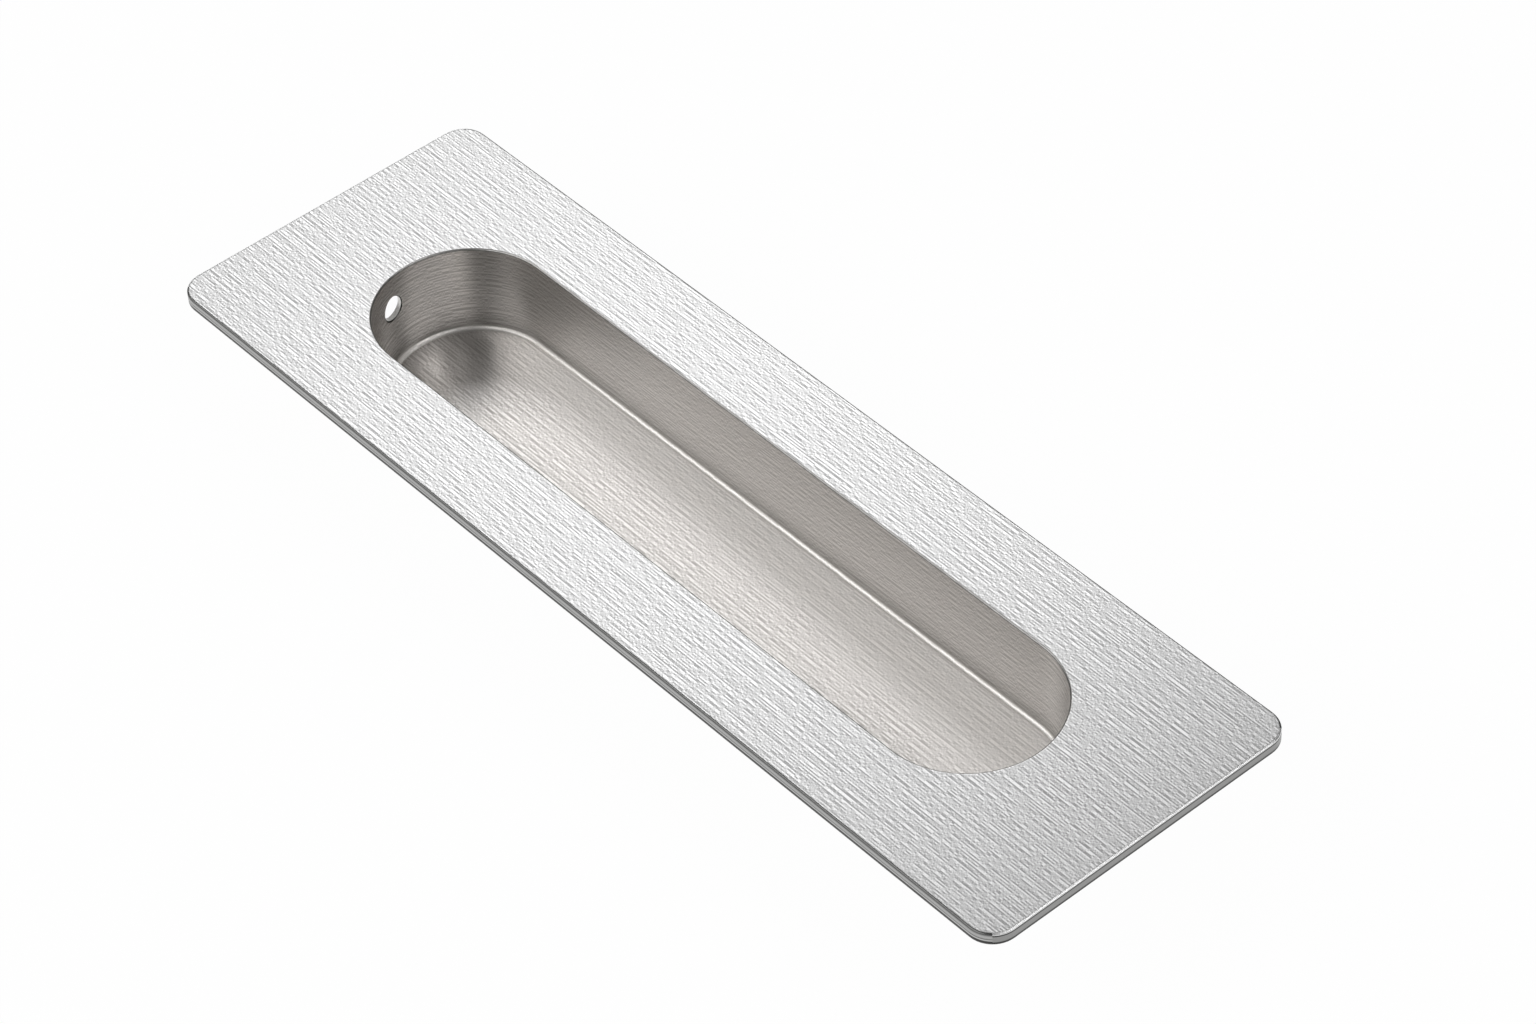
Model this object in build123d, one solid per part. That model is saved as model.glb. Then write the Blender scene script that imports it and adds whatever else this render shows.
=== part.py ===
from build123d import *

import os
from math import radians, tan

# Recessed pull handle in brushed stainless steel: a flat face plate with an obround cup let into it.
# Millimetres. +X runs along the plate and +Z points out of the door. The origin is the centre of
# the cup's flat underside, so the loose handle stands on its cup with its face upwards.

# Face plate
plate_length = 128.0
plate_width = 40.0
plate_thickness = 1.5
corner_radius = 3.0
edge_break = 0.2

# Cup
mouth_length = 98.5
mouth_width = 20.0
recess_depth = 11.0
cup_sheet = 0.8
wall_draft = 2.0
floor_radius = 0.6
mouth_arris = 0.2
root_radius = 0.5

# Fixing holes, drilled on one line through both end walls
hole_diameter = 2.8
hole_depth = 4.0
hole_off_centre = 2.8

overall_height = recess_depth + cup_sheet
plate_back = overall_height - plate_thickness
outer_floor_radius = floor_radius + cup_sheet


def obround(level, growth=0.0):
    """Outline of the drafted recess at one height, grown all round by the given amount."""
    draft_inset = (overall_height - level) * tan(radians(wall_draft))
    change = 2 * (growth - draft_inset)
    return Plane.XY.offset(level) * SlotOverall(mouth_length + change, mouth_width + change)


def edges_at(solid, level):
    """Edges of a solid that lie in the horizontal plane at one height."""
    return solid.edges().filter_by_position(Axis.Z, level, level)


def make_face_plate():
    """Flat plate with rounded corners and softened edges, its back on the door."""
    outline = Plane.XY.offset(plate_back) * RectangleRounded(plate_length, plate_width, corner_radius)
    plate = extrude(outline, plate_thickness)
    return fillet(edges_at(plate, plate_back) + edges_at(plate, overall_height), edge_break)


def make_cup_outside():
    """Outer form of the cup: drafted walls with a rounded edge round the underside."""
    form = loft([obround(0, cup_sheet), obround(overall_height, cup_sheet)], ruled=True)
    return fillet(edges_at(form, 0), outer_floor_radius)


def make_recess():
    """Space inside the cup: a straight-sided obround pocket with a rounded floor edge."""
    space = loft([obround(cup_sheet), obround(overall_height)], ruled=True)
    return fillet(edges_at(space, cup_sheet), floor_radius)


def make_fixing_holes():
    """One drill line along X that passes through both end walls of the cup."""
    drill_length = mouth_length + 4 * cup_sheet
    drill = Plane.YZ * Cylinder(hole_diameter / 2, drill_length)
    return Pos(0, -hole_off_centre, overall_height - hole_depth) * drill


def make_handle():
    """Face plate and cup as the single welded and dressed piece that the handle is."""
    cup = make_cup_outside()
    handle = make_face_plate() + cup

    root = edges_at(handle, plate_back).filter_by(
        lambda edge: abs((edge @ 0).Y) < plate_width / 2 - corner_radius
        and abs((edge @ 0).X) < plate_length / 2 - corner_radius
    )
    handle = fillet(root, root_radius)

    handle -= make_recess()
    mouth = edges_at(handle, overall_height).filter_by(
        lambda edge: abs((edge @ 0).Y) <= mouth_width / 2 + mouth_arris
        and abs((edge @ 0).X) <= mouth_length / 2
    )
    handle = fillet(mouth, mouth_arris)
    return handle - make_fixing_holes()


os.makedirs("parts", exist_ok=True)
export_step(make_handle(), "parts/recessed_pull.step")
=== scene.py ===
import logging
import math
from dataclasses import dataclass, field
from enum import Enum
from typing import ClassVar

import bmesh
import bpy
import numpy as np
from mathutils import Matrix, Vector


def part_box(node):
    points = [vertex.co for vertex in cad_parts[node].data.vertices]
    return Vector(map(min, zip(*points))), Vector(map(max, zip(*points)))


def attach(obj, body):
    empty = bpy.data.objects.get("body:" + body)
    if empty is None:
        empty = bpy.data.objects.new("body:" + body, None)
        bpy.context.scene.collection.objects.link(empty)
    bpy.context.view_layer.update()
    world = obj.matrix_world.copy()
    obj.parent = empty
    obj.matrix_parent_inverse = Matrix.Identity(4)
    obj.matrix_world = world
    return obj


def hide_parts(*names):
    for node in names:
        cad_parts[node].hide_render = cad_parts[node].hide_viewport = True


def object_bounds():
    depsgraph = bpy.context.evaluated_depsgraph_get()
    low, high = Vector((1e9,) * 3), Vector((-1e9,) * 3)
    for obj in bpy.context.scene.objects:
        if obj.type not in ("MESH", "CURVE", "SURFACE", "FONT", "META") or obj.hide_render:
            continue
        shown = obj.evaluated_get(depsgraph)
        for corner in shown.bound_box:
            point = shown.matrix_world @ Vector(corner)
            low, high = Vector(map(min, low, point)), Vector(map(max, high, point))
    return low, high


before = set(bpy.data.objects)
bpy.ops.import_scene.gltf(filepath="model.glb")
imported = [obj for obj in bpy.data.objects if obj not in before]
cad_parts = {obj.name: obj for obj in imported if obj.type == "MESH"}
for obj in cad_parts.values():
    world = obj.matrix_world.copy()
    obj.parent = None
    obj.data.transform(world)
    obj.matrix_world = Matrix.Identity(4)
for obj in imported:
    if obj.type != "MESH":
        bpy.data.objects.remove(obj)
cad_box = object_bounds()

# Recessed pull handle in brushed stainless steel, dressed for a close look: one smooth closed
# shell that stands for the solid, with a finish of its own on each surface. The mesh is worked
# out in millimetres and written in metres. +X runs along the plate and +Z out of its face.

MM = 0.001
LOG = logging.getLogger("recessed_pull")

# One row of the shell: the distance out along each ray, and the height.
Station = tuple[np.ndarray, float]


class Zone(Enum):
    """A surface of the handle with a finish of its own; the value is its material index."""

    FACE = 0
    WALL = 1
    BEND = 2
    FLOOR = 3
    BACK = 4
    SIDE_EDGE = 5
    END_EDGE = 6
    ARRIS = 7
    RIM = 8
    BORE = 9


class Brushing(Enum):
    """What the scratches of a zone run along."""

    LENGTH = "length of the plate"
    PERIMETER = "outline of the cup or the plate"


# ---------------------------------------------------------------- colours and finishes


def linear(colour: str) -> tuple[float, float, float, float]:
    """Turn an sRGB hex colour into linear light.

    Args:
        colour: six hex digits with a leading hash.

    Returns:
        Red, green, blue and alpha in linear light.
    """
    parts = [int(colour[i:i + 2], 16) / 255 for i in (1, 3, 5)]
    light = [c / 12.92 if c <= 0.04045 else ((c + 0.055) / 1.055) ** 2.4 for c in parts]
    return (*light, 1.0)


def add_node(
    tree: bpy.types.NodeTree,
    kind: str,
    links: dict | None = None,
    inputs: dict | None = None,
    **settings: object,
) -> bpy.types.Node:
    """Add one node to a tree, with its settings, values and incoming links.

    Args:
        tree: the node tree to add to.
        kind: the node's type name.
        links: input name or index to the output socket that feeds it.
        inputs: input name or index to a constant value.
        settings: attributes of the node itself.

    Returns:
        The new node.
    """
    node = tree.nodes.new(kind)
    for name, value in settings.items():
        setattr(node, name, value)
    for name, value in (inputs or {}).items():
        node.inputs[name].default_value = value
    for name, socket in (links or {}).items():
        tree.links.new(socket, node.inputs[name])
    return node


@dataclass(frozen=True)
class BrushedSteel:
    """Stainless steel with fine parallel scratches, as an abrasive belt or pad leaves them.

    The scratches lie side by side and show as short lines, some light and some dark, and they
    spread each highlight across themselves. Lengths are in millimetres.

    Attributes:
        name: the material's name.
        light: colour of the lightest scratch.
        dark: colour of the darkest scratch.
        roughness: mean roughness of the metal.
        anisotropy: how far the scratches spread a highlight.
        pitch: distance from one fine scratch to the next.
        length: length of the longest fine scratches.
        depth: height of the relief that the scratches leave.
        bands: tones of painted light and shade that multiply the colour, each at a distance across
        the scratches. On a cut edge that is the way down from the face. In the cup it is
        the way up the section, counted on from the height of the finish's lowest row.
    """

    # Broad scratches over fine ones: their length, their spacing, and their part in the tone.
    BROAD_LENGTH: ClassVar[float] = 2.1
    BROAD_PITCH: ClassVar[float] = 1.7
    BROAD_PART: ClassVar[float] = 0.08
    # Finer layers of noise over the first, each half as long as the one before, and the share of
    # its strength that each keeps.
    NOISE_LAYERS: ClassVar[float] = 6.0
    NOISE_KEEP: ClassVar[float] = 0.9
    # How far apart random starts may lie on the noise, so that no two pairs run alike.
    START_SPREAD: ClassVar[float] = 97.0
    # In the first scratch of a pair, noise under the first value is all dark, and noise over the
    # second is all light.
    DARK_BELOW: ClassVar[float] = 0.43
    LIGHT_ABOVE: ClassVar[float] = 0.57
    # How far the roughness swings about its mean: up in dark scratches and down in light ones.
    ROUGHNESS_SWING: ClassVar[float] = 0.12

    name: str
    light: str
    dark: str
    roughness: float
    anisotropy: float
    pitch: float
    length: float
    depth: float
    bands: tuple[tuple[float, str], ...] = ()

    def _scratches(
        self, tree: bpy.types.NodeTree, uv: bpy.types.NodeSocket, length: float, pitch: float
    ) -> bpy.types.NodeSocket:
        """Pairs of scratches, one as much lighter as the other is darker, that come and go.

        The pair is the whole part of the distance across over two pitches. Rough noise is read
        along a diagonal, at the distance along over the length, from a random start for each
        pair. The first scratch of the pair takes the noise and the second takes 1 less the noise.

        Args:
            tree: the material's node tree.
            uv: the scratch map, in millimetres.
            length: length of the longest scratches.
            pitch: distance from one scratch to the next.

        Returns:
            The tone of the scratches, spread over 0 to 1.
        """
        part = add_node(tree, "ShaderNodeSeparateXYZ", {0: uv})
        across = add_node(
            tree, "ShaderNodeMath", {0: part.outputs[1]}, {1: 2 * pitch}, operation="DIVIDE"
        )
        pair = add_node(tree, "ShaderNodeMath", {0: across.outputs[0]}, operation="FLOOR")
        start = add_node(
            tree, "ShaderNodeTexWhiteNoise", {"W": pair.outputs[0]}, noise_dimensions="1D"
        )
        along = add_node(
            tree, "ShaderNodeMath", {0: part.outputs[0]}, {1: length}, operation="DIVIDE"
        )
        place = add_node(
            tree, "ShaderNodeVectorMath", {0: start.outputs["Color"], 2: along.outputs[0]},
            {1: (self.START_SPREAD,) * 3}, operation="MULTIPLY_ADD",
        )
        noise = add_node(
            tree, "ShaderNodeTexNoise", {"Vector": place.outputs[0]},
            {"Scale": 1.0, "Detail": self.NOISE_LAYERS, "Roughness": self.NOISE_KEEP},
            noise_dimensions="2D",
        )
        strength = add_node(
            tree, "ShaderNodeMapRange", {"Value": noise.outputs[0]},
            {"From Min": self.DARK_BELOW, "From Max": self.LIGHT_ABOVE},
        )
        rest = add_node(
            tree, "ShaderNodeMath", {0: across.outputs[0], 1: pair.outputs[0]}, operation="SUBTRACT"
        )
        second = add_node(
            tree, "ShaderNodeMath", {0: rest.outputs[0]}, {1: 0.5}, operation="GREATER_THAN"
        )
        tone = add_node(
            tree, "ShaderNodeMath", {0: second.outputs[0], 1: strength.outputs[0]}, operation="SUBTRACT"
        )
        return add_node(tree, "ShaderNodeMath", {0: tone.outputs[0]}, operation="ABSOLUTE").outputs[0]

    def _banded(
        self, tree: bpy.types.NodeTree, uv: bpy.types.NodeSocket, colour: bpy.types.NodeSocket
    ) -> bpy.types.NodeSocket:
        """Multiply a colour by the bands, read at the distance across over the last band's.

        Args:
            tree: the material's node tree.
            uv: the scratch map, in millimetres.
            colour: the colour of the scratches.

        Returns:
            The banded colour.
        """
        part = add_node(tree, "ShaderNodeSeparateXYZ", {0: uv})
        reach = self.bands[-1][0]
        share = add_node(
            tree, "ShaderNodeMath", {0: part.outputs[1]}, {1: reach}, operation="DIVIDE"
        )
        ramp = add_node(tree, "ShaderNodeValToRGB", {0: share.outputs[0]})
        stops = ramp.color_ramp.elements
        stops.remove(stops[1])
        stops[0].position = self.bands[0][0] / reach
        for place, _ in self.bands[1:]:
            stops.new(place / reach)
        for stop, (_, tone) in zip(stops, self.bands):
            stop.color = linear(tone)
        return add_node(
            tree, "ShaderNodeMix", {6: colour, 7: ramp.outputs[0]}, {0: 1.0},
            data_type="RGBA", blend_type="MULTIPLY",
        ).outputs[2]

    def make(self) -> bpy.types.Material:
        """Build the material from the piece's own UV map, which is in millimetres.

        Returns:
            The finished material.
        """
        material = bpy.data.materials.new(self.name)
        material.use_nodes = True
        tree = material.node_tree
        tree.nodes.clear()
        uv = add_node(tree, "ShaderNodeUVMap", uv_map=HandleShell.UV_NAME).outputs[0]

        # Fine scratches, with broader and longer ones among them.
        fine = self._scratches(tree, uv, self.length, self.pitch)
        broad = self._scratches(
            tree, uv, self.length * self.BROAD_LENGTH, self.pitch * self.BROAD_PITCH
        )
        blend = add_node(
            tree, "ShaderNodeMix", {2: fine, 3: broad}, {0: self.BROAD_PART}, data_type="FLOAT"
        ).outputs[0]
        colour = add_node(
            tree, "ShaderNodeMix", {0: blend}, {6: linear(self.dark), 7: linear(self.light)},
            data_type="RGBA",
        ).outputs[2]
        # Bands, where the finish has them, paint light and shade onto the colour.
        if self.bands:
            colour = self._banded(tree, uv, colour)
        rough = add_node(
            tree, "ShaderNodeMapRange", {"Value": blend},
            {
                "To Min": self.roughness * (1 + self.ROUGHNESS_SWING),
                "To Max": self.roughness * (1 - self.ROUGHNESS_SWING),
            },
        )
        bump = add_node(
            tree, "ShaderNodeBump", {"Height": blend},
            {"Strength": 1.0, "Distance": self.depth * MM},
        )
        tangent = add_node(
            tree, "ShaderNodeTangent", direction_type="UV_MAP", uv_map=HandleShell.UV_NAME
        )
        # A quarter turn of the anisotropy spreads the highlight across the scratches.
        steel = add_node(
            tree, "ShaderNodeBsdfPrincipled",
            {
                "Base Color": colour,
                "Roughness": rough.outputs[0],
                "Normal": bump.outputs[0],
                "Tangent": tangent.outputs[0],
            },
            {"Metallic": 1.0, "Anisotropic": self.anisotropy, "Anisotropic Rotation": 0.25},
        )
        add_node(tree, "ShaderNodeOutputMaterial", {"Surface": steel.outputs[0]})
        return material


# Hairline finish of the visible face: crisp, close scratches along the plate. Real ones are
# probably some 0.05 mm apart. They are drawn at 0.16 mm, as coarse as they need to be to show in a
# view of the whole handle.
FACE_FINISH = BrushedSteel(
    "hairline_stainless_face", "#CACACA", "#969696", 0.34, 0.6, 0.16, 9.0, 0.001
)
# Cup wall: softer scratches that follow the outline, as rubbing round the inside leaves. The bands
# darken its foot with painted shade and a painted dim reflection, with tones set for the look.
WALL_FINISH_AND_PAINTED_SHADE = BrushedSteel(
    "rubbed_stainless_wall_painted_shade", "#E4E1DE", "#BBB8B5", 0.32, 0.6, 0.18, 9.0, 0.001,
    ((1.40, "#BEBEBE"), (1.90, "#D0D0D0"), (2.40, "#E1E1E1"), (3.00, "#EEEEEE"),
     (4.00, "#F8F8F8"), (6.00, "#FFFFFF")),
)
# Bend between wall and floor: an even satin that shows as a bright line. The bands darken it
# towards the wall with painted shade, with tones set for the look.
BEND_FINISH_AND_PAINTED_SHADE = BrushedSteel(
    "burnished_stainless_bend_painted_shade", "#E1DEDA", "#D0CDC9", 0.44, 0.4, 0.17, 5.0, 0.001,
    ((0.80, "#FFFFFF"), (1.38, "#FFFFFF"), (1.52, "#CACACA"), (1.72, "#BEBEBE")),
)
# Cup floor: long soft scratches along the cup.
FLOOR_FINISH = BrushedSteel(
    "rubbed_stainless_floor", "#E8E5E2", "#CAC7C4", 0.46, 0.88, 0.18, 14.0, 0.001
)
# Back of the sheet, taken to be as it came from the mill: even satin grey with hardly a scratch.
BACK_FINISH = BrushedSteel("mill_stainless_back", "#C2C1BF", "#B2B1AF", 0.38, 0.1, 0.40, 0.8, 0.001)
# Long edges of the plate, taken to be blanked in a press. Down from the face the bands are a dark
# corner, a bright band, a dark line, a thin bright line and a dull band. Their tones are set for
# the look: painted shade and painted highlights as well as finish.
SIDE_EDGE_FINISH_AND_PAINTED_LIGHT = BrushedSteel(
    "blanked_stainless_side_painted_light", "#FFFFFF", "#E4E4E4", 0.34, 0.2, 0.04, 4.0, 0.001,
    ((0.0, "#7A7A79"), (0.24, "#6A6A69"), (0.52, "#B9B9B8"), (0.76, "#ABABAA"), (0.86, "#4A4A49"),
     (0.95, "#C9C9C8"), (1.04, "#C9C9C8"), (1.14, "#3A3A39"), (1.35, "#4A4A49"), (1.73, "#777776")),
)
# Short edges, taken to be filed after the brushing. Down from the face the bands are a painted
# highlight on the bevel, a fine dark line of painted shade, a satin band and a dark foot of painted
# shade, with tones set in the same way.
END_EDGE_FINISH_AND_PAINTED_LIGHT = BrushedSteel(
    "filed_stainless_end_painted_light", "#FFFFFF", "#E4E4E4", 0.34, 0.2, 0.04, 4.0, 0.001,
    ((0.0, "#FFFFFF"), (0.26, "#FFFFFF"), (0.33, "#3A3A39"), (0.41, "#4A4A49"), (0.55, "#9C9C9B"),
     (1.14, "#9A9A99"), (1.28, "#3C3C3B"), (1.73, "#3C3C3B")),
)
# Rounded rim of the mouth: softly scratched round the outline, and a little darker than the face
# with painted shade along the edge.
ARRIS_FINISH_AND_PAINTED_SHADE = BrushedSteel(
    "rubbed_stainless_arris_painted_shade", "#AEADAB", "#949391", 0.36, 0.3, 0.20, 3.0, 0.001
)
# Bevelled rim of a screw hole: dark all round with painted shade at the hole's edge.
RIM_FINISH_AND_PAINTED_SHADE = BrushedSteel(
    "deburred_stainless_rim_painted_shade", "#6A6967", "#545351", 0.36, 0.3, 0.20, 3.0, 0.001
)
# Bore of a screw hole, a little rough as a drill leaves it, and pale with painted light so that it
# shows bright.
BORE_FINISH_AND_PAINTED_LIGHT = BrushedSteel(
    "drilled_stainless_bore_painted_light", "#F2F1EF", "#DDDCDA", 0.55, 0.1, 0.20, 0.6, 0.001
)

FINISHES = {
    Zone.FACE: FACE_FINISH,
    Zone.WALL: WALL_FINISH_AND_PAINTED_SHADE,
    Zone.BEND: BEND_FINISH_AND_PAINTED_SHADE,
    Zone.FLOOR: FLOOR_FINISH,
    Zone.BACK: BACK_FINISH,
    Zone.SIDE_EDGE: SIDE_EDGE_FINISH_AND_PAINTED_LIGHT,
    Zone.END_EDGE: END_EDGE_FINISH_AND_PAINTED_LIGHT,
    Zone.ARRIS: ARRIS_FINISH_AND_PAINTED_SHADE,
    Zone.RIM: RIM_FINISH_AND_PAINTED_SHADE,
    Zone.BORE: BORE_FINISH_AND_PAINTED_LIGHT,
}


# ---------------------------------------------------------------- mesh


@dataclass
class Patch:
    """A grid of points in millimetres, rows by columns, with its scratch map and its zone."""

    points: np.ndarray
    uv: np.ndarray
    zone: Zone


@dataclass
class HandleShell:
    """The handle as one closed shell: a section carried round the outline of the cup.

    Sizes are in millimetres and angles in degrees. The section is a list of stations from the
    middle of the cup floor, up the wall, over the mouth, out across the plate, round its edge
    and back underneath to the middle of the cup's underside.

    Attributes:
        hole_margin: how much wall round a screw hole its square patch takes in.
        hole_edge: bevel of a screw hole's edges.
        hole_steps: columns and rows across a screw hole's patch.
        side_steps: columns along half of a straight side.
        flank_steps: columns from a straight side of the cup to a corner of the plate.
        corner_steps: columns round a corner of the plate.
        near_steps: columns from a corner to the screw hole's patch.
        past_steps: columns from the patch to the other corner.
        foot_rows: rows of wall under the patch.
        head_rows: rows of wall over the patch.
        ring_steps: rings from the patch's border to the hole's edge.
        bend_steps: rows round the bend at the floor, inside and outside.
        round_steps: rows round the mouth's edge and round the root behind the plate.
        break_steps: rows round each broken edge of the plate.
        edge_rows: rows between the plate's two broken edges.
    """

    UV_NAME: ClassVar[str] = "brushing"
    # Shares of the way along a screw hole's bevel and bore at which its rings lie.
    RIM_SHARES: ClassVar[tuple[float, ...]] = (0, 0.1, 0.9, 1)
    BORE_SHARES: ClassVar[tuple[float, ...]] = (0, 0.06, 0.35, 0.65, 0.94, 1)
    # Shares of the way across a flat face at which its rows lie, with a narrow margin at a border.
    DISC_SHARES: ClassVar[tuple[float, ...]] = (
        0, 0.12, 0.24, 0.36, 0.48, 0.6, 0.72, 0.84, 0.96, 0.99, 1,
    )
    FACE_SHARES: ClassVar[tuple[float, ...]] = (0, 0.006, 0.2, 0.4, 0.6, 0.8, 0.994, 1)
    # Points nearer than the first are joined, and edges shorter than the second are taken out, in
    # metres.
    WELD: ClassVar[float] = 1e-7
    NO_LENGTH: ClassVar[float] = 1e-8
    # Edges that turn more than this are drawn sharp, in degrees.
    SHARP: ClassVar[float] = 50.0
    # Stands in for nought where something is divided or compared.
    TINY: ClassVar[float] = 1e-9

    plate_length: float
    plate_width: float
    overall_height: float
    plate_thickness: float = 1.5
    corner_radius: float = 3.0
    edge_break: float = 0.2
    mouth_length: float = 98.5
    mouth_width: float = 20.0
    cup_sheet: float = 0.8
    wall_draft: float = 2.0
    floor_radius: float = 0.6
    mouth_arris: float = 0.2
    root_radius: float = 0.5
    hole_diameter: float = 2.8
    hole_depth: float = 4.0
    hole_off_centre: float = 2.8
    hole_margin: float = 0.7
    hole_edge: float = 0.12
    hole_steps: int = 20
    side_steps: int = 16
    flank_steps: int = 32
    corner_steps: int = 12
    near_steps: int = 8
    past_steps: int = 24
    foot_rows: int = 8
    head_rows: int = 6
    ring_steps: int = 6
    bend_steps: int = 12
    round_steps: int = 6
    break_steps: int = 5
    edge_rows: int = 3
    patches: list[Patch] = field(default_factory=list)

    def __post_init__(self) -> None:
        """Work out the places that several surfaces share."""
        self.mouth_radius = self.mouth_width / 2
        self.spine = self.mouth_length / 2 - self.mouth_radius
        self.plate_back = self.overall_height - self.plate_thickness
        self.draft = math.radians(self.wall_draft)
        self.hole_height = self.overall_height - self.hole_depth
        self.hole_half = self.hole_diameter / 2 + self.hole_margin
        self.hole_middle = math.asin(self.hole_off_centre / (self.mouth_radius + self.cup_sheet / 2))
        self.hole_swing = self.hole_half / self.mouth_radius
        self._lay_out_columns()

    def _lay_out_columns(self) -> None:
        """Choose the columns round the outline: even steps between the places that matter.

        Each column is a ray from the cup's spine. Along the straight sides the rays are parallel.
        At each end they fan out from the end of the spine, with steps that fall on the screw
        hole's patch and on the tangent points of the plate's corners.
        """
        half_x = self.plate_length / 2 - self.spine
        half_y = self.plate_width / 2
        corner_low = math.atan2(half_y - self.corner_radius, half_x)
        corner_high = math.atan2(half_y, half_x - self.corner_radius)
        quarter = math.pi / 2
        low = -self.hole_middle - self.hole_swing
        high = -self.hole_middle + self.hole_swing
        stops = [-quarter, -corner_high, -corner_low, low, high, corner_low, corner_high, quarter]
        steps = [
            self.flank_steps, self.corner_steps, self.near_steps, self.hole_steps,
            self.past_steps, self.corner_steps, self.flank_steps,
        ]
        spans = [np.linspace(a, b, n, endpoint=False) for a, b, n in zip(stops, stops[1:], steps)]
        end = np.concatenate([*spans, [quarter]])
        half_side = np.linspace(0, self.spine, self.side_steps + 1)
        side = np.linspace(self.spine, -self.spine, 2 * self.side_steps + 1)

        right = np.column_stack([np.full(end.size, self.spine), end])
        left = np.column_stack([np.full(end.size, -self.spine), np.pi - end[::-1]])
        first = np.column_stack([half_side[:-1], np.full(self.side_steps, -quarter)])
        top = np.column_stack([side[1:-1], np.full(side.size - 2, quarter)])
        last = np.column_stack([-half_side[::-1][1:-1], np.full(self.side_steps - 1, 3 * quarter)])
        rays = np.concatenate([first, right, top, left, last])
        self.start = rays[:, 0]
        self.angle = rays[:, 1]
        right_from = len(first)
        left_from = len(first) + len(right) + len(top)
        self.hole_columns = {1: right_from + sum(steps[:3]), -1: left_from + sum(steps[4:])}
        # Columns at the middle of each corner, where the plate's long and short edges meet.
        corner = self.flank_steps + self.corner_steps // 2
        self.end_columns = [
            right_from + corner, right_from + end.size - 1 - corner,
            left_from + corner, left_from + end.size - 1 - corner,
        ]

    def _cup(self, radius: float) -> np.ndarray:
        """Distance out to an obround of the given end radius: the same on every ray."""
        return np.full(self.angle.size, radius)

    def _plate(self, inset: float) -> np.ndarray:
        """Distance along each ray to the plate's outline, moved inwards.

        The nearer of the two straight sides is hit unless the hit lies past a corner's tangent
        point, where the ray is met with the corner's circle instead.

        Args:
            inset: how far inside the plate's edge the outline lies.

        Returns:
            One distance for each ray.
        """
        radius = self.corner_radius - inset
        half = np.array([self.plate_length / 2 - inset, self.plate_width / 2 - inset])
        way = np.abs(np.column_stack([np.cos(self.angle), np.sin(self.angle)]))
        away = np.where(way[:, 0] > self.TINY, self.spine, np.abs(self.start))
        to_end = (half[0] - away) / np.maximum(way[:, 0], self.TINY)
        to_side = half[1] / np.maximum(way[:, 1], self.TINY)
        offset = np.column_stack([half[0] - radius - away, np.full(away.size, half[1] - radius)])
        along = (offset * way).sum(1)
        room = along**2 - (offset**2).sum(1) + radius**2
        to_corner = along + np.sqrt(np.maximum(room, 0))
        straight = np.minimum(to_end, to_side)
        hit = np.column_stack([away, np.zeros(away.size)]) + straight[:, None] * way
        in_corner = (hit > half - radius + self.TINY).all(1)
        return np.where(in_corner, to_corner, straight)

    def _wall(self, height: np.ndarray | float, outside: bool = False) -> np.ndarray | float:
        """End radius of the cup's wall at a height: the mouth's, less the draft down to there."""
        radius = self.mouth_radius - (self.overall_height - height) * math.tan(self.draft)
        return radius + (self.cup_sheet if outside else 0)

    def _place(self, distance: np.ndarray, height: float | np.ndarray) -> np.ndarray:
        """Points at a distance along the rays and at a height."""
        x = self.start + distance * np.cos(self.angle)
        y = distance * np.sin(self.angle)
        return np.stack([x, y, np.broadcast_to(height, x.shape)], axis=-1)

    def _perimeter(self, x: np.ndarray, y: np.ndarray) -> np.ndarray:
        """Length along the mouth's outline from the middle of its -Y side, anticlockwise.

        Straight sides count their X and the ends count their angle times the mouth's radius.

        Args:
            x: places along the plate.
            y: places across the plate.

        Returns:
            One length for each place.
        """
        turn = self.mouth_radius
        c = self.spine
        right = c + turn * (np.arctan2(y, x - c) + np.pi / 2)
        left = 3 * c + turn * (np.pi / 2 + np.mod(np.arctan2(y, x + c), 2 * np.pi))
        near = np.where(x >= 0, x, 4 * c + 2 * np.pi * turn + x)
        far = 2 * c + np.pi * turn - x
        return np.select([x > c, x < -c, y < 0], [right, left, near], far)

    def _bend(self, radius: float, outside: bool) -> list[Station]:
        """Stations of the rounded edge between floor and wall, from the floor upwards.

        A quarter turn, less the draft, about a centre one radius above the floor and one radius
        in from the leaning wall.

        Args:
            radius: radius of the bend.
            outside: whether it is the outside of the cup.

        Returns:
            The stations.
        """
        level = 0.0 if outside else self.cup_sheet
        middle = level + radius
        centre = self._wall(middle, outside) - radius / math.cos(self.draft)
        turns = np.linspace(0, math.pi / 2 - self.draft, self.bend_steps + 1)
        return [
            (self._cup(centre + radius * math.sin(t)), middle - radius * math.cos(t)) for t in turns
        ]

    def _wall_heights(self, low: float, high: float) -> np.ndarray:
        """Heights up the wall: even steps below, across and above the screw hole's patch.

        Args:
            low: height of the wall's foot.
            high: height of the wall's top.

        Returns:
            The heights, from the foot upwards.
        """
        bottom = self.hole_height - self.hole_half
        top = self.hole_height + self.hole_half
        below = np.linspace(low, bottom, self.foot_rows + 1)[:-1]
        across = np.linspace(bottom, top, self.hole_steps + 1)
        above = np.linspace(top, high, self.head_rows + 1)[1:]
        return np.concatenate([below, across, above])

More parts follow.
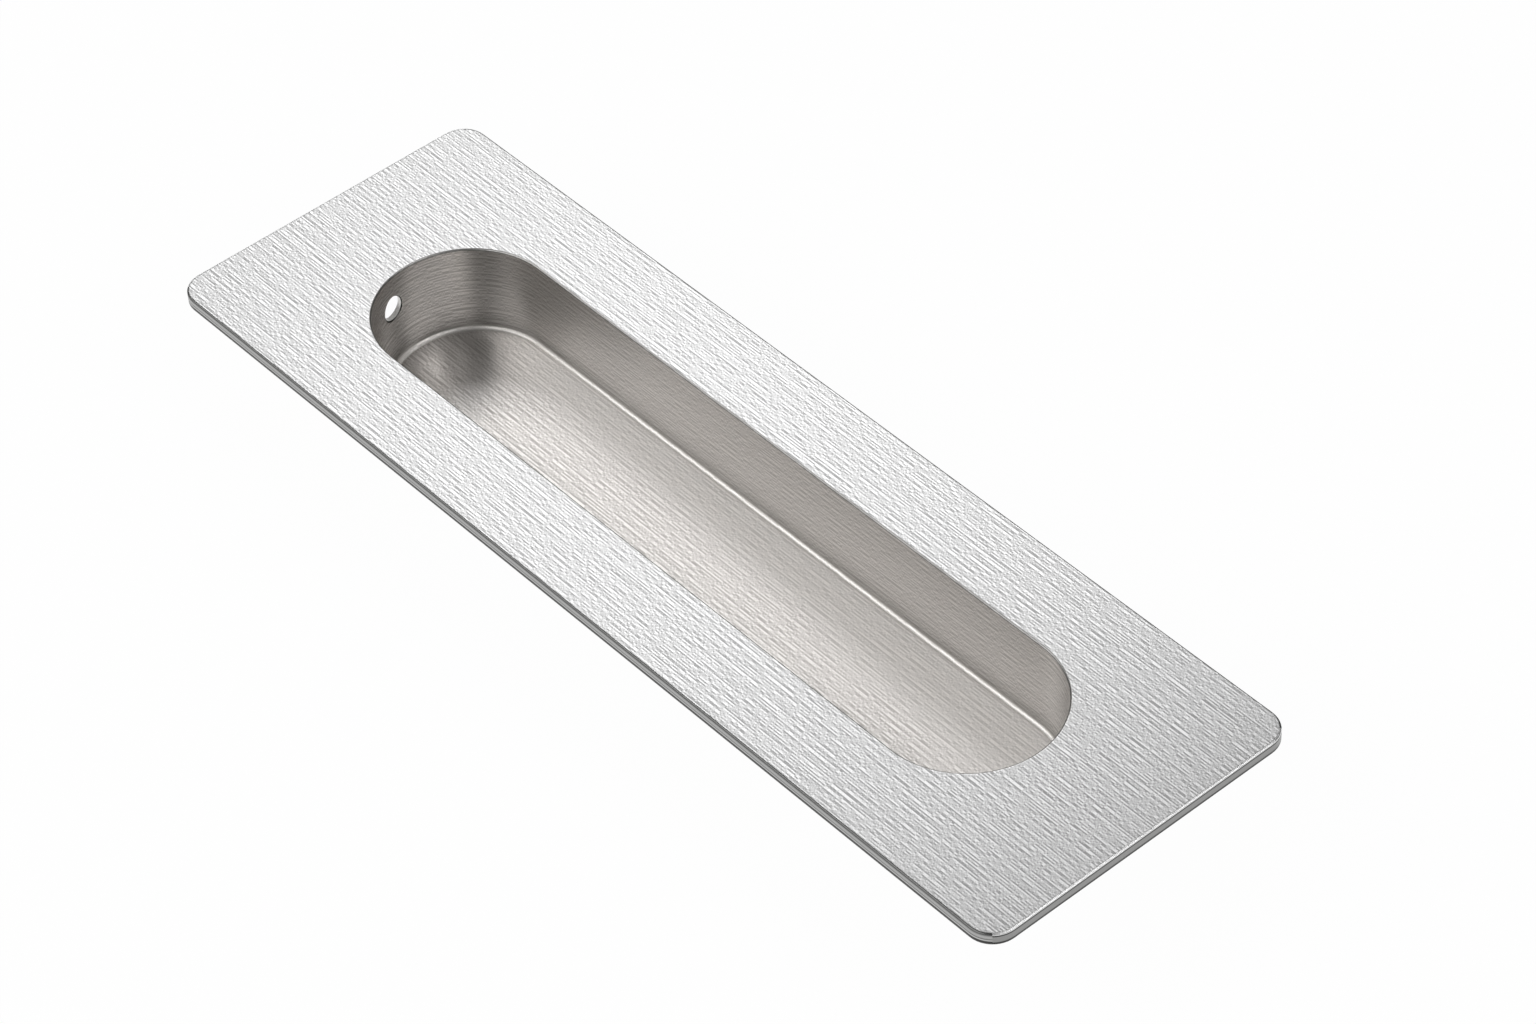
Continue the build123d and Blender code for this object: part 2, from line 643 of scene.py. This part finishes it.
    def _band(self, stations: list[Station], zone: Zone, brushing: Brushing) -> Patch:
        """Turn stations into a closed band of points, its last column on its first.

        The scratch map is X and Y where the scratches run along the plate. Otherwise it is the
        length round the mouth, and the height of the first row plus the length along the section.

        Args:
            stations: distances along the rays and a height, one pair for each row.
            zone: the surface that the band belongs to.
            brushing: what the scratches run along.

        Returns:
            The band.
        """
        rows = [self._place(distance, height) for distance, height in stations]
        points = np.stack(rows)
        points = np.concatenate([points, points[:, :1]], axis=1)
        if brushing is Brushing.LENGTH:
            uv = points[..., :2]
        else:
            around = self._perimeter(points[0, :, 0], points[0, :, 1])
            around[-1] = 4 * self.spine + 2 * np.pi * self.mouth_radius
            step = np.linalg.norm(np.diff(points[:, 0], axis=0), axis=1)
            across = points[0, 0, 2] + np.concatenate([[0], np.cumsum(step)])
            uv = np.stack(np.broadcast_arrays(around[None], across[:, None]), axis=-1)
        return Patch(points, uv, zone)

    def _sweep(self, stations: list[Station], zone: Zone, brushing: Brushing) -> None:
        """Add the band that the stations make to the shell."""
        self.patches.append(self._band(stations, zone, brushing))

    def _disc(self, radius: float, height: float, zone: Zone) -> None:
        """Flat obround closed on its spine: shares of the outline's distance."""
        rows = [(self._cup(radius * share), height) for share in self.DISC_SHARES]
        self._sweep(rows, zone, Brushing.LENGTH)

    def _ruled(self, inner: np.ndarray, outer: np.ndarray, height: float, zone: Zone) -> None:
        """Flat face between two outlines: shares of the way from one to the other."""
        rows = [(inner + (outer - inner) * share, height) for share in self.FACE_SHARES]
        self._sweep(rows, zone, Brushing.LENGTH)

    def build_cup_inside(self) -> None:
        """Floor, bend, wall and mouth arris of the recess."""
        bend = self._bend(self.floor_radius, False)
        self._disc(bend[0][0][0], self.cup_sheet, Zone.FLOOR)
        self._sweep(bend, Zone.BEND, Brushing.PERIMETER)

        radius = self.mouth_arris
        middle = self.overall_height - radius
        centre = self._wall(middle) + radius / math.cos(self.draft)
        turns = np.linspace(self.draft, math.pi / 2, self.round_steps + 1)
        arris = [
            (self._cup(centre - radius * math.cos(t)), middle + radius * math.sin(t)) for t in turns
        ]
        self._wall_band(bend[-1][1], arris[0][1], False, Zone.WALL)
        self._sweep(arris, Zone.ARRIS, Brushing.PERIMETER)
        self.mouth_edge = centre

    def build_plate(self) -> None:
        """Front face and edge of the plate; its edge is cut into long and short ones at the corners."""
        radius = self.edge_break
        top, back = self.overall_height, self.plate_back
        self._ruled(self._cup(self.mouth_edge), self._plate(radius), top, Zone.FACE)
        turns = np.linspace(0, math.pi / 2, self.break_steps + 1)
        upper = [
            (self._plate(radius * (1 - math.sin(t))), top - radius * (1 - math.cos(t))) for t in turns
        ]
        lower = [
            (self._plate(radius * (1 - math.cos(t))), back + radius * (1 - math.sin(t))) for t in turns
        ]
        levels = np.linspace(upper[-1][1], lower[0][1], self.edge_rows + 2)[1:-1]
        side = [(self._plate(0), level) for level in levels]
        edge = self._band([*upper, *side, *lower], Zone.SIDE_EDGE, Brushing.PERIMETER)
        # The bands of the edge finishes are measured down from the face.
        down = edge.uv[..., 1] - edge.uv[:1, :, 1]
        edge.uv = np.stack([edge.uv[..., 0], down], axis=-1)
        stops = [0, *self.end_columns, edge.points.shape[1] - 1]
        for zone, first, final in zip((Zone.SIDE_EDGE, Zone.END_EDGE) * 3, stops, stops[1:]):
            self._cut(edge, slice(None), slice(first, final + 1), zone)

    def build_cup_outside(self) -> None:
        """Back of the plate, root, outer wall, outer bend and underside of the cup."""
        radius = self.root_radius
        middle = self.plate_back - radius
        centre = self._wall(middle, True) + radius / math.cos(self.draft)
        turns = np.linspace(0, math.pi / 2 - self.draft, self.round_steps + 1)
        root = [
            (self._cup(centre - radius * math.sin(t)), middle + radius * math.cos(t)) for t in turns
        ]
        self._ruled(self._cup(centre), self._plate(self.edge_break), self.plate_back, Zone.BACK)
        self._sweep(root, Zone.BACK, Brushing.PERIMETER)
        bend = self._bend(self.floor_radius + self.cup_sheet, True)
        self._wall_band(bend[-1][1], root[-1][1], True, Zone.BACK)
        self._sweep(bend, Zone.BACK, Brushing.PERIMETER)
        self._disc(bend[0][0][0], 0.0, Zone.BACK)

    def _wall_band(self, low: float, high: float, outside: bool, zone: Zone) -> None:
        """Leaning wall between two heights, with an opening where each screw hole goes.

        Args:
            low: height of the wall's foot.
            high: height of the wall's top.
            outside: whether it is the wall's outer face.
            zone: the surface that the wall belongs to.
        """
        heights = self._wall_heights(low, high)
        rows = [(self._cup(self._wall(z, outside)), z) for z in heights]
        band = self._band(rows, zone, Brushing.PERIMETER)
        across = self.hole_steps
        window = slice(self.foot_rows, self.foot_rows + across + 1)
        right, left = sorted(self.hole_columns.values())
        last = band.points.shape[1] - 1
        for first, final in ((0, right), (right + across, left), (left + across, last)):
            self._cut(band, window, slice(first, final + 1))
        self._cut(band, slice(0, self.foot_rows + 1), slice(None))
        self._cut(band, slice(self.foot_rows + across, None), slice(None))
        for side, column in self.hole_columns.items():
            self._hole_patch(band, window, slice(column, column + across + 1), side, outside)

    def _cut(self, band: Patch, rows: slice, columns: slice, zone: Zone | None = None) -> None:
        """Keep one rectangle of a band as a patch of its own, in its own zone or the band's."""
        points, uv = band.points[rows, columns], band.uv[rows, columns]
        self.patches.append(Patch(points, uv, band.zone if zone is None else zone))

    def _rim(self, side: int, outside: bool, growth: float = 0.0) -> np.ndarray:
        """Edge of a screw hole: a circle seen along X, laid on the wall's end.

        X is the end of the spine plus the half chord of the wall's circle at that Y and height.

        Args:
            side: 1 for the hole towards +X and -1 for the other one.
            outside: whether the edge lies on the wall's outer face.
            growth: how far outside the bore the circle lies.

        Returns:
            The closed circle of points.
        """
        radius = self.hole_diameter / 2 + growth
        turns = np.linspace(0, 2 * np.pi, 4 * self.hole_steps + 1) - 3 * np.pi / 4
        y = -self.hole_off_centre + radius * np.cos(turns)
        z = self.hole_height + radius * np.sin(turns)
        x = side * (self.spine + np.sqrt(self._wall(z, outside) ** 2 - y**2))
        return np.column_stack([x, y, z])

    def _hole_patch(
        self, band: Patch, rows: slice, columns: slice, side: int, outside: bool
    ) -> None:
        """Wall round a screw hole: rings that turn from the square opening into the hole's edge.

        Each ring is a share of the way, in Y and Z, from the opening's border to the rim, put
        back on the wall by the half chord of its circle at that Y and height.

        Args:
            band: the whole wall.
            rows: the rows of the band that the opening takes in.
            columns: the columns of the band that the opening takes in.
            side: 1 for the hole towards +X and -1 for the other one.
            outside: whether it is the wall's outer face.
        """
        block = band.points[rows, columns]
        if side < 0:
            block = block[:, ::-1]
        border = np.concatenate([
            block[0, :-1], block[:-1, -1], block[-1, :0:-1], block[:0:-1, 0], block[:1, 0],
        ])
        rim = self._rim(side, outside, self.hole_edge)
        shares = np.linspace(0, 1, self.ring_steps + 1)[:, None, None]
        rings = border[None] * (1 - shares) + rim[None] * shares
        chord = np.sqrt(self._wall(rings[..., 2], outside) ** 2 - rings[..., 1] ** 2)
        rings[..., 0] = side * (self.spine + chord)
        around = self._perimeter(rings[..., 0], rings[..., 1])
        uv = np.stack([around, rings[..., 2]], axis=-1)
        self.patches.append(Patch(rings, uv, band.zone))

    def build_hole_walls(self) -> None:
        """Screw holes: a bevelled edge on each face of the wall and a straight bore between them."""
        for side in self.hole_columns:
            into = np.array([side * self.hole_edge, 0, 0])
            inner, outer = self._rim(side, False) + into, self._rim(side, True) - into
            self._tube(self._rim(side, False, self.hole_edge), inner, self.RIM_SHARES, Zone.RIM)
            self._tube(inner, outer, self.BORE_SHARES, Zone.BORE)
            self._tube(outer, self._rim(side, True, self.hole_edge), self.RIM_SHARES, Zone.RIM)

    def _tube(
        self, first: np.ndarray, last: np.ndarray, shares: tuple[float, ...], zone: Zone
    ) -> None:
        """Ruled band of a screw hole: rings at shares of the way from one circle to another.

        Args:
            first: the circle where the band starts.
            last: the circle where it ends.
            shares: where the rings lie, from 0 at the first circle to 1 at the last.
            zone: the surface that the band belongs to.
        """
        part = np.array(shares)[:, None, None]
        rings = first[None] * (1 - part) + last[None] * part
        around = np.linspace(0, np.pi * self.hole_diameter, rings.shape[1])
        uv = np.stack(np.broadcast_arrays(around[None], rings[..., 0]), axis=-1)
        self.patches.append(Patch(rings, uv, zone))

    def _make_mesh(self) -> bpy.types.Mesh:
        """Put the patches in one mesh, a quad between each two rows and columns of a grid.

        Returns:
            The mesh, with its scratch map and finishes, and its patches not yet joined.
        """
        corners, coords, uvs, zones = [], [], [], []
        offset = 0
        for patch in self.patches:
            rows, columns = patch.points.shape[:2]
            index = offset + np.arange(rows * columns).reshape(rows, columns)
            quads = np.stack([index[:-1, :-1], index[:-1, 1:], index[1:, 1:], index[1:, :-1]], axis=-1)
            corners.append(quads.reshape(-1, 4))
            coords.append(patch.points.reshape(-1, 3))
            uvs.append(np.asarray(patch.uv).reshape(-1, 2))
            zones.append(np.full(len(corners[-1]), patch.zone.value))
            offset += rows * columns
        faces, points, scratch_map = (np.concatenate(grids) for grids in (corners, coords, uvs))

        mesh = bpy.data.meshes.new("recessed_pull_shell")
        mesh.from_pydata((points * MM).tolist(), [], faces.tolist())
        layer = mesh.uv_layers.new(name=self.UV_NAME)
        on_corners = scratch_map[faces.reshape(-1)]
        layer.data.foreach_set("uv", on_corners.astype(np.float32).reshape(-1))
        mesh.polygons.foreach_set("material_index", np.concatenate(zones).astype(np.int32))
        for zone in Zone:
            mesh.materials.append(FINISHES[zone].make())
        return mesh

    def _close(self, mesh: bpy.types.Mesh) -> int:
        """Join the patches along their borders, with faces outwards and sharp corners sharp.

        Args:
            mesh: the mesh to close.

        Returns:
            How many edges are left open.
        """
        work = bmesh.new()
        work.from_mesh(mesh)
        bmesh.ops.remove_doubles(work, verts=work.verts, dist=self.WELD)
        bmesh.ops.dissolve_degenerate(work, edges=work.edges, dist=self.NO_LENGTH)
        bmesh.ops.recalc_face_normals(work, faces=work.faces)
        sharp = math.radians(self.SHARP)
        for edge in work.edges:
            edge.smooth = not (edge.is_manifold and edge.calc_face_angle(0) > sharp)
        open_edges = sum(not edge.is_manifold for edge in work.edges)
        work.to_mesh(mesh)
        work.free()
        mesh.polygons.foreach_set("use_smooth", np.ones(len(mesh.polygons), bool))
        mesh.update()
        return open_edges

    def make_object(self) -> bpy.types.Object:
        """Make the closed, dressed shell from the patches.

        Returns:
            The finished piece, at the origin.
        """
        mesh = self._make_mesh()
        open_edges = self._close(mesh)
        LOG.info("shell: %d faces, %d open edges", len(mesh.polygons), open_edges)
        piece = bpy.data.objects.new("recessed_pull_shell", mesh)
        bpy.context.scene.collection.objects.link(piece)
        return piece


# ---------------------------------------------------------------- studio


def direction(azimuth: float, elevation: float) -> Vector:
    """Unit vector from the handle outwards. Azimuth 0 is -Y and 90 is +X, both in degrees."""
    a, e = math.radians(azimuth), math.radians(elevation)
    return Vector((math.sin(a) * math.cos(e), -math.cos(a) * math.cos(e), math.sin(e)))


@dataclass(frozen=True)
class Softbox:
    """An oblong lamp that faces the handle. Angles in degrees, lengths in metres."""

    name: str
    azimuth: float
    elevation: float
    distance: float
    width: float
    height: float
    brightness: float

    def make(self, target: Vector) -> bpy.types.Object:
        """Place the lamp; its power is its brightness times pi times its area.

        Args:
            target: the point it faces.

        Returns:
            The lamp.
        """
        data = bpy.data.lights.new(self.name, "AREA")
        data.shape = "RECTANGLE"
        data.size, data.size_y = self.width, self.height
        data.energy = self.brightness * math.pi * self.width * self.height
        lamp = bpy.data.objects.new(self.name, data)
        way = direction(self.azimuth, self.elevation)
        lamp.location = target + way * self.distance
        lamp.rotation_euler = way.to_track_quat("Z", "Y").to_euler()
        bpy.context.scene.collection.objects.link(lamp)
        return lamp


@dataclass(frozen=True)
class Studio:
    """Pale floor, soft lamps, plain sky and the camera. Lengths in metres, angles in degrees.

    Attributes:
        target: the point that the lamps and the camera face.
        azimuth: side that the camera is on.
        elevation: how far above the face the camera stands.
        roll: turn of the camera about its sightline.
        distance: from the target to the camera.
        lens: focal length in millimetres, on a sensor of the given width.
        near_clip: nearest that the camera sees.
        far_clip: furthest that it sees.
        floor_half: half the floor's side.
        floor_colour: colour of the floor where light falls on it.
        floor_glow: how much of the floor shows as plain white to the eye and to the metal.
        sky_strength: brightness of the sky, where 1 is white.
        softboxes: the lamps.
    """

    target: tuple[float, float, float]
    azimuth: float = 51.33
    elevation: float = 43.98
    roll: float = -3.63
    distance: float = 0.49165
    lens: float = 113.7
    sensor_width: float = 36.0
    near_clip: float = 0.01
    far_clip: float = 20.0
    floor_half: float = 3.0
    floor_colour: str = "#F4F4F4"
    floor_glow: float = 0.975
    sky_strength: float = 0.13
    softboxes: tuple[Softbox, ...] = (
        Softbox("key_softbox", -127.3, 42.0, 1.4, 0.64, 0.42, 3.45),
        Softbox("front_softbox", -22.0, 38.0, 1.3, 1.9, 0.8, 2.65),
        Softbox("side_softbox", 90.0, 42.0, 1.3, 1.2, 0.5, 1.0),
        Softbox("edge_softbox", 121.0, 29.0, 1.3, 0.45, 0.35, 3.0),
        Softbox("end_strip", 104.0, 49.0, 1.3, 0.26, 0.3, 4.5),
        Softbox("back_strip", 178.0, 67.0, 1.3, 0.4, 0.2, 4.0),
    )

    def make_camera(self) -> bpy.types.Object:
        """Camera on its sightline to the target, turned about that line by the roll.

        Returns:
            The camera, made the scene's own.
        """
        data = bpy.data.cameras.new("camera")
        data.lens, data.sensor_width = self.lens, self.sensor_width
        data.clip_start, data.clip_end = self.near_clip, self.far_clip
        camera = bpy.data.objects.new("camera", data)
        way = direction(self.azimuth, self.elevation)
        roll = Matrix.Rotation(math.radians(self.roll), 3, "Z")
        turn = way.to_track_quat("Z", "Y").to_matrix() @ roll
        place = Matrix.Translation(Vector(self.target) + way * self.distance)
        camera.matrix_world = place @ turn.to_4x4()
        bpy.context.scene.collection.objects.link(camera)
        bpy.context.scene.camera = camera
        return camera

    def make_floor(self, height: float) -> bpy.types.Object:
        """Pale matt floor that shows near white to the eye and to the metal, with hardly a shadow.

        Args:
            height: where the floor lies.

        Returns:
            The floor.
        """
        material = bpy.data.materials.new("pale_matt_paper")
        material.use_nodes = True
        tree = material.node_tree
        tree.nodes.clear()
        paper = add_node(tree, "ShaderNodeBsdfDiffuse", inputs={"Color": linear(self.floor_colour)})
        glow = add_node(tree, "ShaderNodeEmission", inputs={"Color": (1, 1, 1, 1), "Strength": 1.0})
        path = add_node(tree, "ShaderNodeLightPath")
        seen = add_node(
            tree, "ShaderNodeMath",
            {0: path.outputs["Is Camera Ray"], 1: path.outputs["Is Glossy Ray"]}, operation="MAXIMUM",
        )
        shown = add_node(
            tree, "ShaderNodeMath",
            {0: seen.outputs[0], 1: path.outputs["Is Transmission Ray"]}, operation="MAXIMUM",
        )
        share = add_node(
            tree, "ShaderNodeMath", {0: shown.outputs[0]}, {1: self.floor_glow}, operation="MULTIPLY"
        )
        mix = add_node(
            tree, "ShaderNodeMixShader", {0: share.outputs[0], 1: paper.outputs[0], 2: glow.outputs[0]}
        )
        add_node(tree, "ShaderNodeOutputMaterial", {"Surface": mix.outputs[0]})

        half = self.floor_half
        mesh = bpy.data.meshes.new("floor")
        square = [(-half, -half), (half, -half), (half, half), (-half, half)]
        mesh.from_pydata([(x, y, height) for x, y in square], [], [(0, 1, 2, 3)])
        mesh.materials.append(material)
        floor = bpy.data.objects.new("floor", mesh)
        bpy.context.scene.collection.objects.link(floor)
        return floor

    def make_sky(self) -> None:
        """Even dim sky: the studio's walls and ceiling between the lamps."""
        world = bpy.data.worlds.new("studio_sky")
        world.use_nodes = True
        tree = world.node_tree
        tree.nodes.clear()
        light = {"Color": (1, 1, 1, 1), "Strength": self.sky_strength}
        sky = add_node(tree, "ShaderNodeBackground", inputs=light)
        add_node(tree, "ShaderNodeOutputWorld", {"Surface": sky.outputs[0]})
        bpy.context.scene.world = world

    def build(self, floor_height: float) -> None:
        """Make the floor at its height, and the sky, the lamps and the camera."""
        self.make_floor(floor_height)
        self.make_sky()
        for softbox in self.softboxes:
            softbox.make(Vector(self.target))
            LOG.info("lamp: %s", softbox.name)
        self.make_camera()


# Where on the handle's face the lamps and the camera point: just off its middle, in metres.
AIM = (0.0063, 0.00305)


def build_handle() -> bpy.types.Object:
    """Build the dressed handle on the solid's own length, width and height.

    Returns:
        The piece that stands for the solid.
    """
    low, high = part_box("recessed_pull")
    size = (high - low) / MM
    shell = HandleShell(round(size.x, 3), round(size.y, 3), round(size.z, 3))
    shell.build_cup_inside()
    shell.build_plate()
    shell.build_cup_outside()
    shell.build_hole_walls()
    piece = shell.make_object()
    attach(piece, "root")
    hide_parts("recessed_pull")
    return piece


def main() -> None:
    """Build the handle, then the studio round it."""
    logging.basicConfig(level=logging.INFO, format="%(name)s %(message)s")
    piece = build_handle()
    LOG.info("piece: %s", piece.name)
    low, high = cad_box
    Studio((*AIM, high.z)).build(low.z)
    bpy.context.scene.view_settings.view_transform = "Standard"


if __name__ == "__main__":
    main()
